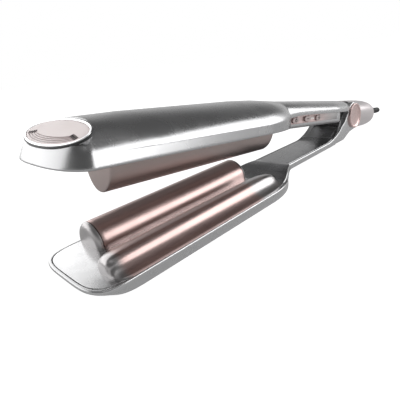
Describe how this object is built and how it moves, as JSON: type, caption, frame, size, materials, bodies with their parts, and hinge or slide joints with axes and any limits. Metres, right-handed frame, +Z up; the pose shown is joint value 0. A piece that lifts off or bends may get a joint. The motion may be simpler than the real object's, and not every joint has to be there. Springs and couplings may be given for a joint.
{
  "type": "deep-wave hair crimper",
  "caption": "Two-arm hair waver: one half-round heated barrel closes between two heated barrels, with side buttons, rear hinge and cord strain relief.",
  "frame": {"origin": "under the middle of the whole object, on the surface that the lower arm rests on", "axes": "+X along the lower arm from its tip to the hinge and cord, +Y across the arms, +Z up; the upper arm is drawn open"},
  "size_m": [0.3202, 0.0568, 0.0669],
  "materials": {
    "satin_silver": "satin silver-grey moulded shell",
    "deck_grey": "semi-gloss dark grey moulding",
    "rose_metal": "anodised rose-brown, satin",
    "end_silver": "polished silver end caps",
    "rose_trim": "metallised rose trim",
    "pad_pink": "very pale pink, soft gloss",
    "ring_chrome": "bright trim ring",
    "button_dark": "dark rose button",
    "hinge_dark": "glass-filled nylon, dark grey",
    "steel": "ground steel",
    "heater": "ceramic heater in foil",
    "spring_brass": "spring leaf",
    "sensor": "glass bead sensor",
    "board": "glass-epoxy board",
    "black_plastic": "black moulding",
    "light": "clear light pipe",
    "rubber_black": "black ribbed elastomer"
  },
  "bodies": {
    "lower_arm": {"lower_shell": "satin_silver", "lower_deck": "deck_grey", "neck_cover": "deck_grey", "lower_barrel_near": "rose_metal", "lower_barrel_far": "rose_metal", "front_barrel_caps": "end_silver", "rear_barrel_caps": "end_silver", "lower_heaters": "heater", "lower_heater_clips": "spring_brass", "lower_thermistor": "sensor", "lower_screws": "steel", "pivot_pin": "steel", "pivot_cap_near": "rose_trim", "pivot_cap_far": "rose_trim"},
    "upper_arm": {"upper_shell": "satin_silver", "upper_base_frame": "satin_silver", "tip_pad": "pad_pink", "tip_pad_ring": "ring_chrome", "upper_barrel": "rose_metal", "upper_heater": "heater", "upper_heater_clip": "spring_brass", "upper_thermistor": "sensor", "thermal_fuse": "spring_brass", "upper_screws": "steel", "handle_underside": "satin_silver", "control_strip": "rose_trim", "control_board": "board", "tact_switches": "black_plastic", "indicator_lights": "light", "hinge_knuckle": "hinge_dark", "torsion_spring": "steel", "rear_cap": "satin_silver"},
    "button_power": {"button_power": "button_dark"},
    "button_minus": {"button_minus": "button_dark"},
    "button_plus": {"button_plus": "button_dark"},
    "cord_outlet": {"cord_collar": "satin_silver", "strain_relief": "rubber_black"}
  },
  "joints": [
    {"name": "jaw_hinge", "type": "hinge", "parent": "lower_arm", "child": "upper_arm", "pos_m": [0.07733, 0, 0.0225], "axis": [0, -1, 0], "range_deg": [0, 6], "stiffness_Nm_per_rad": 1.6, "springref_deg": -28.65},
    {"name": "button_power_press", "type": "slide", "parent": "upper_arm", "child": "button_power", "axis": [0, 1, 0], "range_m": [0, 0.0006], "stiffness_N_per_m": 800, "springref_m": -0.0005},
    {"name": "button_minus_press", "type": "slide", "parent": "upper_arm", "child": "button_minus", "axis": [0, 1, 0], "range_m": [0, 0.0006], "stiffness_N_per_m": 800, "springref_m": -0.0005},
    {"name": "button_plus_press", "type": "slide", "parent": "upper_arm", "child": "button_plus", "axis": [0, 1, 0], "range_m": [0, 0.0006], "stiffness_N_per_m": 800, "springref_m": -0.0005},
    {"name": "cord_swivel", "type": "hinge", "parent": "upper_arm", "child": "cord_outlet", "pos_m": [0.12861, 0, 0.01429], "axis": [0.9925, 0, -0.1219], "continuous": true}
  ]
}
